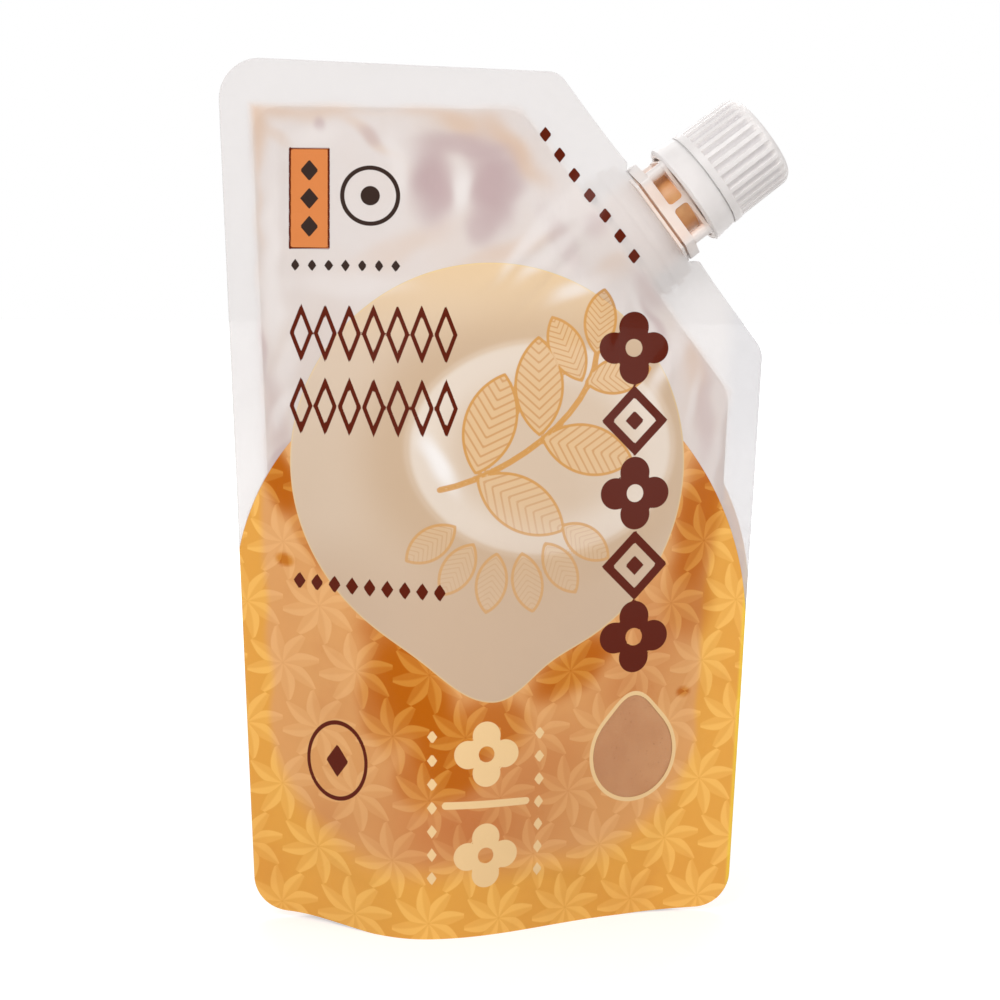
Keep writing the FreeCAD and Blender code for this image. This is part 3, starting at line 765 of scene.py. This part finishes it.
def paste_sides():
    """The inner line of the seals with round corners, as four sides."""
    low, hip = rim_height + 0.3, 26.0
    top_left = np.array([-half_width(fill_top) + side_seal, fill_top])
    at_top = shoulder_middle + shoulder_way * -22 - shoulder_out * shoulder_seal
    at_top = at_top + shoulder_way * (fill_top - at_top[1]) / shoulder_way[1]
    at_side_z = 100.0
    for _ in range(20):
        at_side = np.array([half_width(at_side_z) - side_seal, at_side_z])
        at_side_z += (inside_shoulder(*at_side) - shoulder_seal) * 0.8
    foot_left = np.array([recess_left + 0.5, low])
    foot_right = np.array([recess_right - 0.5, low])
    hip_left, hip_right = (np.array([side * (half_width(hip) - side_seal), hip]) for side in (-1, 1))
    arc_top_left = corner_arc(hip_left, top_left, at_top, 5.0)
    arc_top = corner_arc(top_left, at_top, at_side, 6.0)
    arc_side = corner_arc(at_top, at_side, hip_right, 8.0)
    left = np.vstack([foot_left[None], corner_arc(foot_left, hip_left, top_left, 20.0), arc_top_left[:9]])
    right = np.vstack([foot_right[None], corner_arc(foot_right, hip_right, at_side, 20.0),
                       arc_side[::-1], arc_top[8:][::-1]])
    return left, right, np.stack([foot_left, foot_right]), np.vstack([arc_top_left[8:], arc_top[:9]])


def rim_numbers(row_count, column_count):
    """The numbers of a grid's rim points, once round from its lower left corner."""
    number = np.arange(row_count * column_count).reshape(row_count, column_count)
    return np.concatenate([number[0, :-1], number[:-1, -1], number[-1, :0:-1], number[:0:-1, 0]])


def paste_mesh(columns=150, rows=220, across=14):
    """Front grid, back grid, and lines between their rims; the foot's lines rise as an arch."""
    x, z = coons_patch(*paste_sides(), columns, rows)
    walls = []
    for sign, side, folds, seed in ((-1, FRONT, front_folds, 11), (1, BACK, back_folds, 47)):
        y = seal_wave(x, z) + sign * (panel_offset(x, z, *side) + relief(x, z, folds, seed) - skin)
        walls.append(np.stack([x + centre_x, y, z], axis=-1))
    front, back = (wall.reshape(-1, 3) for wall in walls)
    rim = rim_numbers(rows, columns)
    on_foot = np.zeros(len(rim))
    on_foot[:columns] = 1
    between = []
    for t in np.linspace(0, 1, across)[1:-1]:
        line = front[rim] * (1 - t) + back[rim] * t
        line[:, 2] += on_foot * (arch_height(line[:, 0] - centre_x, t) - rim_height)
        between.append(line)
    points = np.vstack([front, back] + between)
    inner = [2 * len(front) + k * len(rim) + np.arange(len(rim)) for k in range(across - 2)]
    strips = [rim] + inner + [len(front) + rim]
    faces = [grid_faces(rows, columns), grid_faces(rows, columns, flip=True) + len(front)]
    for a, b in zip(strips[:-1], strips[1:]):
        faces.append(np.stack([a, b, np.roll(b, -1), np.roll(a, -1)], axis=-1))
    return points, np.vstack(faces)


points, faces = paste_mesh()
paste = new_piece("paste", points, faces, {})


def turned(profile, turns=48):
    """Rings round the spout's axis, one for each height and radius of the profile: a ring is
    the axis point plus the radius times the cosine along the shoulder and the sine across it.
    The last ring joins the first, so the skin is closed."""
    axis = np.array([shoulder_out[0], 0, shoulder_out[1]])
    way = np.array([shoulder_way[0], 0, shoulder_way[1]])
    seat = shoulder_middle - shoulder_out * seat_drop
    base = np.array([seat[0] + centre_x, 0, seat[1]])
    angle = np.linspace(0, 2 * np.pi, turns, endpoint=False)
    round_it = np.cos(angle)[:, None] * way + np.sin(angle)[:, None] * np.array([0, 1, 0])
    rings = [base + axis * height + radius * round_it for height, radius in profile]
    number = np.arange(len(profile) * turns).reshape(-1, turns)
    here, above = number, np.roll(number, -1, 0)
    faces = np.stack([here, np.roll(here, -1, 1), np.roll(above, -1, 1), above], axis=-1)
    return np.vstack(rings), faces.reshape(-1, 4)


plug_foot, plug_radius, pole = -boat_height - 1.5, bore_radius + 0.05, 0.02
points, faces = turned([(plug_foot, pole), (plug_foot, plug_radius), (neck_top, plug_radius), (neck_top, pole)])
paste_plug = new_piece("paste_plug", points, faces, {})

# %% [markdown]
# ## The slit over the tamper band
#
# A blade cuts the band free of the cap, all but its small bridges. The slit is so narrow
# that light scattered by the white plastic fills it. A thin ring set back a little in the
# slot gives that pale line instead of a black one.

# %% Build the ring in the slit
slit_back, overlap = 0.08, 0.01
low, high = band_top - overlap, cap_low + overlap
inner, outer = skirt_radius - 0.1, band_top_radius - slit_back
points, faces = turned([(low, inner), (low, outer), (high, outer), (high, inner)], turns=96)
slit_ring = new_piece("slit_ring", points, faces, {})

# %% [markdown]
# ## Materials
#
# Colours are given as the eye reads them, from 0 to 255, and turned into the linear values
# that a shader works with. Small helpers keep each material short: one reads an attribute,
# one cuts a distance into a sharp mask, and one lays a colour over another.

# %% Node helpers
def ink(red, green, blue):
    """A colour from 0 to 255 as linear light: the screen's curve undone."""
    value = np.array([red, green, blue]) / 255
    linear = np.where(value <= 0.04045, value / 12.92, ((value + 0.055) / 1.055) ** 2.4)
    return (*[float(v) for v in linear], 1.0)


class Shader:
    """One material's node tree, with a short call for each kind of node it uses."""

    def __init__(self, name):
        self.material = bpy.data.materials.new(name)
        self.material.use_nodes = True
        self.tree = self.material.node_tree
        self.surface = self.tree.nodes["Principled BSDF"]

    def node(self, kind, values=(), **settings):
        made = self.tree.nodes.new(kind)
        for key, value in settings.items():
            setattr(made, key, value)
        for socket, value in values:
            self.put(made.inputs[socket], value)
        return made

    def put(self, socket, value):
        if isinstance(value, bpy.types.NodeSocket):
            self.tree.links.new(value, socket)
        else:
            socket.default_value = value

    def number(self, name):
        return self.node("ShaderNodeAttribute", attribute_name=name).outputs["Fac"]

    def maths(self, operation, *values, clamped=False):
        return self.node("ShaderNodeMath", list(enumerate(values)), operation=operation,
                         use_clamp=clamped).outputs[0]

    def times(self, a, b):
        return self.maths("MULTIPLY", a, b)

    def most(self, first, *others):
        """The highest of several values."""
        for value in others:
            first = self.maths("MAXIMUM", first, value)
        return first

    def length(self, a, b):
        """Length of a line that runs this far one way and that far the other."""
        return self.maths("SQRT", self.maths("ADD", self.times(a, a), self.times(b, b)))

    def ramp(self, value, low, high, out_low=0.0, out_high=1.0):
        """The value's smooth way from low to high as out_low to out_high, held at both ends."""
        return self.node("ShaderNodeMapRange", list(enumerate([value, low, high, out_low, out_high])),
                         interpolation_type="SMOOTHSTEP").outputs[0]

    def inside(self, distance, soft=0.12):
        """1 inside a shape and 0 outside it, with an edge this many millimetres wide."""
        return self.ramp(distance, soft / 2, -soft / 2)

    def over(self, below, above, share):
        """The upper colour laid over the lower one by a share."""
        mixed = self.node("ShaderNodeMix", data_type="RGBA")
        for socket, value in ((mixed.inputs[0], share), (mixed.inputs[6], below), (mixed.inputs[7], above)):
            self.put(socket, value)
        return mixed.outputs[2]

    def place(self):
        """Where the point lies on the piece, in metres."""
        return self.node("ShaderNodeTexCoord").outputs["Object"]

    def axes(self):
        """The same place as its x, y and z."""
        return self.node("ShaderNodeSeparateXYZ", [(0, self.place())]).outputs

    def noise(self, scale, detail=3.0, stretch=(1, 1, 1)):
        mapped = self.node("ShaderNodeMapping", [("Vector", self.place()), ("Scale", stretch)])
        made = self.node("ShaderNodeTexNoise", [("Vector", mapped.outputs[0]), ("Scale", scale),
                                                ("Detail", detail), ("Roughness", 0.5)])
        return made.outputs["Fac"]

    def bump(self, height, distance, strength=1.0, normal=None):
        made = self.node("ShaderNodeBump", [
            ("Height", height), ("Distance", distance), ("Strength", strength)])
        if normal is not None:
            self.put(made.inputs["Normal"], normal)
        return made.outputs[0]

    def finish(self, **values):
        for socket, value in values.items():
            self.put(self.surface.inputs[socket.replace("_", " ")], value)
        return self.material


def dress(piece, material):
    """Puts the material in every slot of the piece."""
    if not piece.data.materials:
        piece.data.materials.append(material)
    for slot in piece.material_slots:
        slot.material = material


# %% [markdown]
# ## The printed film
#
# The film is a clear, slightly milky laminate. Where it isn't printed, light passes and
# the paste shows through, with smears of it on the inside. Highlights along its folds are painted into its
# colour.
# The inks are opaque and lie over one another in the order of a press: field, pattern, drop, leaves, then the
# small shapes.
#
# The orange field's pattern is finer than the mesh, so its formula runs in the shader:
# pinwheels of pointed petals in two close tones, laid out as a honeycomb.

# %% Pinwheel pattern
def pinwheels(s, x, z, pitch=13.4, petals=8, twist=0.04):
    """Share of the lighter petal tone at x, z in millimetres. A honeycomb is two square nets
    of centres, so each point is wrapped round both and keeps the nearer centre. The angle
    there, turned further the further out, counts the petals. A petal is a pointed leaf along
    the middle of its sector, a sine that narrows outwards, one half of it lighter."""
    row_pitch = pitch * math.sqrt(3) / 2
    nets = []
    for shift in (0, 1):
        a = s.maths("WRAP", s.maths("SUBTRACT", x, shift * pitch / 2), pitch / 2, -pitch / 2)
        b = s.maths("WRAP", s.maths("SUBTRACT", z, shift * row_pitch), row_pitch, -row_pitch)
        nets.append((a, b, s.length(a, b)))
    nearer = s.maths("LESS_THAN", nets[1][2], nets[0][2])
    a, b, radius = (s.maths("ADD", first, s.times(nearer, s.maths("SUBTRACT", second, first)))
                    for first, second in zip(*nets))
    sector = 2 * math.pi / petals
    angle = s.maths("DIVIDE", s.maths("ARCTAN2", b, a), sector)
    count = s.maths("ADD", angle, s.times(radius, twist))
    turn = s.times(s.maths("SUBTRACT", s.maths("FRACT", count), 0.5), sector)
    across = s.times(turn, radius)
    way_out = s.maths("DIVIDE", radius, pitch * 0.6, clamped=True)
    half = s.times(s.maths("SINE", s.times(way_out, math.pi)), s.maths("MULTIPLY_ADD", way_out, -0.95, 1.85))
    petal = s.ramp(s.maths("SUBTRACT", half, s.maths("ABSOLUTE", across)), -0.1, 0.2)
    return s.times(petal, s.ramp(across, -0.25, 0.25, 0.45, 1.0))


# %% Film material
def film_material():
    s = Shader("printed_film")
    cloud = s.noise(38, 4)
    # the clear part: milky film, cream smears, mauve painted shade in hollows, painted highlights along folds
    # and the paler weld, with painted shade on its right side
    clear = s.over(ink(240, 232, 229), ink(236, 222, 213), s.ramp(cloud, 0.35, 0.7, 0, 0.7))
    clear = s.over(clear, ink(232, 200, 174), s.times(s.number("smear"), s.ramp(cloud, 0.25, 0.6, 0.7, 1)))
    # painted shade in the hollows of the clear film
    clear = s.over(clear, ink(205, 180, 181), s.number("painted_shade"))
    # painted highlights along the folds of the clear film
    clear = s.over(clear, ink(248, 241, 238), s.number("painted_highlight"))
    weld = s.number("weld")
    # painted shade: the weld's colour turns greyer towards the right edge
    weld_ink_shaded_right = s.over(ink(240, 236, 235), ink(228, 226, 228), s.ramp(s.number("edge"), 9, 4))
    clear = s.over(clear, weld_ink_shaded_right, weld)
    # the orange field and its pinwheels
    x, _, height = s.axes()
    net_place = [s.maths("MULTIPLY_ADD", way, 1 / MM, shift) for way, shift in ((x, 1.5), (height, -3.0))]
    petal = pinwheels(s, *net_place)
    rim, tan, blush, dark = (s.over(ink(*below), ink(*above), petal) for below, above in (
        ((233, 166, 74), (249, 190, 98)), ((226, 163, 101), (237, 179, 118)),
        ((201, 123, 68), (214, 145, 86)), ((189, 98, 2), (213, 137, 50))))
    orange = s.over(rim, s.over(tan, blush, s.number("blush")), s.number("touch"))
    orange = s.over(orange, dark, s.number("deep"))
    orange = s.over(orange, ink(190, 100, 40), s.ramp(s.noise(60, 5), 0.55, 0.75, 0, 0.16))
    # painted highlight: a bright yellow line along the right edge only
    orange = s.over(orange, ink(246, 206, 70), s.ramp(s.number("edge"), 1.0, 0.2, 0, 0.8))
    field = s.inside(s.number("field"))
    colour = s.over(clear, orange, field)
    # the cream drop: its pool's shade and light, a warm glow at its top, a deeper tone low
    # down, the highlight and a thin pale line round it
    drop_distance, pool_light = s.number("drop"), s.number("pool")
    cream = s.over(ink(214, 189, 163), ink(222, 200, 178), s.ramp(s.noise(16, 2), 0.35, 0.65))
    for tone, value, low, high, share in (
            ((203, 173, 142), pool_light, 0, -1, 0.75), ((232, 217, 202), pool_light, 0, 1, 0.9),
            ((235, 203, 160), height, 0.106, 0.128, 0.9), ((203, 174, 147), height, 0.080, 0.060, 0.7)):
        cream = s.over(cream, ink(*tone), s.ramp(value, low, high, 0, share))
    # painted highlight over the drop
    cream = s.over(cream, ink(248, 243, 240), s.number("painted_highlight"))
    cream = s.over(cream, ink(246, 216, 140), s.inside(s.maths("ABSOLUTE", drop_distance), 0.9))
    drop_mask = s.inside(drop_distance)
    colour = s.over(colour, cream, drop_mask)
    # golden leaves: an edge line, a tinted face and thin veins
    gold = s.number("gold")
    line = s.ramp(s.maths("ABSOLUTE", gold), 0.34, 0.18)
    phase = s.maths("FRACT", s.number("vein"))
    vein = s.ramp(s.maths("ABSOLUTE", s.maths("SUBTRACT", phase, 0.5)), 0.2, 0.05)
    leaf_face = s.over(ink(228, 188, 138), ink(210, 152, 90), vein)
    for tone, share, faint, full in (
            (leaf_face, s.inside(gold, 0.3), 0.25, 0.85), (ink(212, 154, 84), line, 0.6, 0.95)):
        colour = s.over(colour, tone, s.times(share, s.ramp(height, 0.066, 0.092, faint, full)))
    # label, small shapes and the window
    label, brown, dark_ink, pale, window = (
        s.inside(s.number(name)) for name in ("label", "brown", "dark", "pale", "window"))
    for tone, share in (((222, 134, 74), label), ((94, 26, 4), brown),
                        ((56, 40, 34), dark_ink), ((243, 206, 152), pale)):
        colour = s.over(colour, ink(*tone), share)
    # how solid the film is: fully where it is printed, mostly where it is clear, less in the
    # weld, and hardly at all in the window
    solid = s.most(field, drop_mask, label, brown, dark_ink, s.ramp(weld, 0, 1, 0.80, 0.60))
    bare = s.times(window, s.maths("SUBTRACT", 1.0, pale))
    solid = s.times(solid, s.ramp(bare, 0, 1, 1, 0.12))
    grain = s.bump(s.noise(900, 2), 0.00003, 0.5)
    waves = s.bump(s.noise(70, 3, (1, 1, 0.5)), 0.0006, 0.5, grain)
    return s.finish(Base_Color=colour, Alpha=solid, Roughness=s.ramp(cloud, 0.3, 0.7, 0.26, 0.36),
                    Normal=waves, Specular_IOR_Level=0.08, Coat_Weight=0.07, Coat_Roughness=0.06)


film = film_material()
for piece in (film_front, film_back, film_gusset):
    dress(piece, film)

# %% [markdown]
# ## The paste's own finish
#
# Ground nuts in their oil: a warm tan, never quite even, with fine darker specks of skin
# and a soft gloss. High up it is a pale smear, as thin paste on clear film is.

# %% Paste material
def paste_material():
    s = Shader("paste")
    colour = s.over(ink(197, 139, 95), ink(206, 151, 106), s.ramp(s.noise(90, 4), 0.35, 0.65))
    colour = s.over(colour, ink(160, 98, 58), s.ramp(s.noise(1500, 2), 0.66, 0.74, 0, 0.55))
    thin = s.maths("ADD", s.axes()[2], s.ramp(s.noise(45, 3), 0.3, 0.7, -0.012, 0.012))
    colour = s.over(colour, ink(236, 222, 212), s.ramp(thin, 0.104, 0.118, 0, 0.9))
    bump = s.bump(s.noise(420, 4), 0.0003, 0.5)
    return s.finish(Base_Color=colour, Roughness=s.ramp(s.noise(200, 2), 0.3, 0.7, 0.32, 0.5), Normal=bump)


butter = paste_material()
dress(paste, butter)
dress(paste_plug, butter)

# %% [markdown]
# ## Spout, tamper band and cap
#
# All three are moulded polypropylene. The cap and band are white, with painted shade that greys
# the flutes between the cap's ribs. The spout is left natural, so the tube in its window takes
# the paste's colour, and the groove between its flanges looks tan. Where a point lies along
# the spout's axis, and how far from it, decides which it is.

# %% Plastic materials
def spout_frame(s):
    """Each point's height along the spout's axis, its distance along the shoulder and its
    distance from the axis, in millimetres."""
    seat = shoulder_middle - shoulder_out * seat_drop
    origin = ((seat[0] + centre_x) * MM, 0.0, seat[1] * MM)
    offset = s.node("ShaderNodeVectorMath", [(0, s.place()), (1, origin)], operation="SUBTRACT").outputs[0]
    ways = [(float(way[0]), 0.0, float(way[1])) for way in (shoulder_out, shoulder_way)]
    measures = [s.node("ShaderNodeVectorMath", [(0, offset), (1, way)], operation="DOT_PRODUCT")
                for way in ways]
    measures.append(s.node("ShaderNodeVectorMath", [(0, offset)], operation="LENGTH"))
    height, along, length = (s.times(1 / MM, made.outputs["Value"]) for made in measures)
    radius = s.maths("SQRT", s.maths("SUBTRACT", s.times(length, length), s.times(height, height)))
    return height, along, radius


def between(s, value, low, high, below, above):
    """1 from low to high: a rise that starts this far below low and ends this far above it,
    and the same fall at high."""
    return s.times(s.ramp(value, low - below, low + above), s.ramp(value, high + below, high - above))


def spout_material():
    s = Shader("spout_plastic")
    height, along, radius = spout_frame(s)
    colour = s.over(ink(242, 219, 205), ink(247, 230, 219), s.ramp(s.noise(160, 3), 0.35, 0.65))
    colour = s.over(colour, ink(229, 223, 220), s.ramp(radius, 8.2, 10.2))
    in_window = between(s, height, window_low, window_high, 0.05, 0.1)
    warm = s.over(ink(214, 150, 92), ink(221, 162, 106), s.ramp(s.noise(300, 3), 0.35, 0.65))
    colour = s.over(colour, warm, s.times(s.ramp(radius, 6.40, 6.34), in_window))
    in_groove = between(s, height, groove_low, groove_high, 0.02, 0.06)
    in_front = s.ramp(s.maths("ABSOLUTE", along), flange_flat / 2 + 0.2, flange_flat / 2 - 0.4)
    colour = s.over(colour, ink(206, 160, 130), s.times(in_groove, in_front))
    return s.finish(Base_Color=colour, Roughness=s.ramp(s.noise(240, 2), 0.3, 0.7, 0.3, 0.42),
                    Normal=s.bump(s.noise(700, 2), 0.00004, 0.5))


def cap_material():
    s = Shader("cap_plastic")
    height, _, radius = spout_frame(s)
    flute_foot = cap_low + cap_bead_height
    colour = s.over(ink(231, 226, 224), ink(238, 233, 231), s.ramp(s.noise(120, 3), 0.35, 0.65))
    # painted shade: a greyer colour in the flutes between the ribs, where the recess is shaded
    flute_shade = s.times(s.ramp(radius, cap_radius - 0.2, cap_radius - 0.6),
                    s.ramp(height, flute_foot, flute_foot + 0.4))
    flute_shade = s.times(flute_shade, s.ramp(height, cap_top - 1.6, cap_top - 2.6))
    colour = s.over(colour, ink(221, 216, 216), flute_shade)
    return s.finish(Base_Color=colour, Roughness=s.ramp(s.noise(260, 2), 0.3, 0.7, 0.34, 0.48),
                    Normal=s.bump(s.noise(800, 2), 0.00004, 0.6), Subsurface_Weight=0.5,
                    Subsurface_Radius=(1, 1, 1), Subsurface_Scale=0.0015)


dress(nodes["spout"], spout_material())
white = cap_material()
for piece in (nodes["tamper_band"], nodes["cap"], slit_ring):
    dress(piece, white)
print("materials", sorted(m.name for m in bpy.data.materials))

# %% [markdown]
# ## Floor, light and camera
#
# A plain pale studio: a white floor that keeps the pouch's soft shadow, a white world
# behind it, one large lamp from the upper left, a weaker one from the right, one from
# behind, and the camera a little above the middle, seeing the front slightly from the left.

# %% Stage
def stage_material():
    """White to the camera, but still darkened by the object's shadow: part plain light, part
    lit surface."""
    s = Shader("floor_white")
    path = s.node("ShaderNodeLightPath")
    direct = s.most(*[path.outputs[f"Is {kind} Ray"] for kind in ("Camera", "Glossy", "Transmission")])
    away = s.node("ShaderNodeVectorMath", [(0, s.place())], operation="LENGTH").outputs["Value"]
    return s.finish(Base_Color=ink(200, 199, 198), Roughness=0.9, Emission_Color=(1, 1, 1, 1),
                    Emission_Strength=s.times(direct, s.ramp(away, 0.15, 0.6, 0.55, 1.0)))


floor_half = 3.0         # metres
corners = [(a * floor_half, b * floor_half, 0) for a, b in ((-1, -1), (1, -1), (1, 1), (-1, 1))]
mesh = bpy.data.meshes.new("floor")
mesh.from_pydata(corners, [], [(0, 1, 2, 3)])
floor = bpy.data.objects.new("floor", mesh)
bpy.context.scene.collection.objects.link(floor)
dress(floor, stage_material())

world = bpy.data.worlds.new("studio")
bpy.context.scene.world = world
world.use_nodes = True
tree = world.node_tree
backdrop = tree.nodes["Background"]
path = tree.nodes.new("ShaderNodeLightPath")
strength = tree.nodes.new("ShaderNodeMapRange")
strength.inputs["To Min"].default_value = 0.5
strength.inputs["To Max"].default_value = 1.0
tree.links.new(path.outputs["Is Camera Ray"], strength.inputs["Value"])
tree.links.new(strength.outputs["Result"], backdrop.inputs["Strength"])
backdrop.inputs["Color"].default_value = (1, 1, 1, 1)


def posed(side, up, back, place):
    """The matrix that turns an object to these three axes and puts it at this place."""
    turn = np.stack([side, up, back], axis=1)
    return Matrix([[*row, way] for row, way in zip(turn, place)] + [[0, 0, 0, 1]])


def lamp(name, place, target, size, power):
    """A square soft lamp at a place, facing the target."""
    data = bpy.data.lights.new(name, "AREA")
    data.shape, data.size, data.energy = "SQUARE", size, power
    lit = bpy.data.objects.new(name, data)
    bpy.context.scene.collection.objects.link(lit)
    back = np.subtract(place, target).astype(float)
    back /= np.linalg.norm(back)
    side = np.cross([0, 0, 1], back)
    side /= np.linalg.norm(side)
    lit.matrix_world = posed(side, np.cross(back, side), back, place)


aim = (0, 0, 0.09)
lamp("key", (-0.55, -0.75, 0.75), aim, 0.7, 6.6)
lamp("fill", (0.75, -0.6, 0.35), aim, 0.6, 2.6)
lamp("rear", (0.1, 0.9, 0.8), aim, 0.8, 5.2)

# %% Camera
camera_place = (-0.050255, -0.515334, 0.133445)
look = np.array([0.09564, 0.99016, -0.10217])
roll = math.radians(0.55)
right = np.cross(look, [0, 0, 1])
right /= np.linalg.norm(right)
up = np.cross(right, look)
cosine, sine = math.cos(roll), math.sin(roll)
right, up = right * cosine + up * sine, -right * sine + up * cosine
camera = bpy.data.objects.new("camera", bpy.data.cameras.new("camera"))
camera.data.sensor_width, camera.data.lens = 36.0, 98.377
camera.matrix_world = posed(right, up, -look, camera_place)
bpy.context.scene.collection.objects.link(camera)
bpy.context.scene.camera = camera
bpy.context.scene.view_settings.view_transform = "Standard"
print("camera at", camera_place, "lens", camera.data.lens)

# %% Update the scene
bpy.context.view_layer.update()
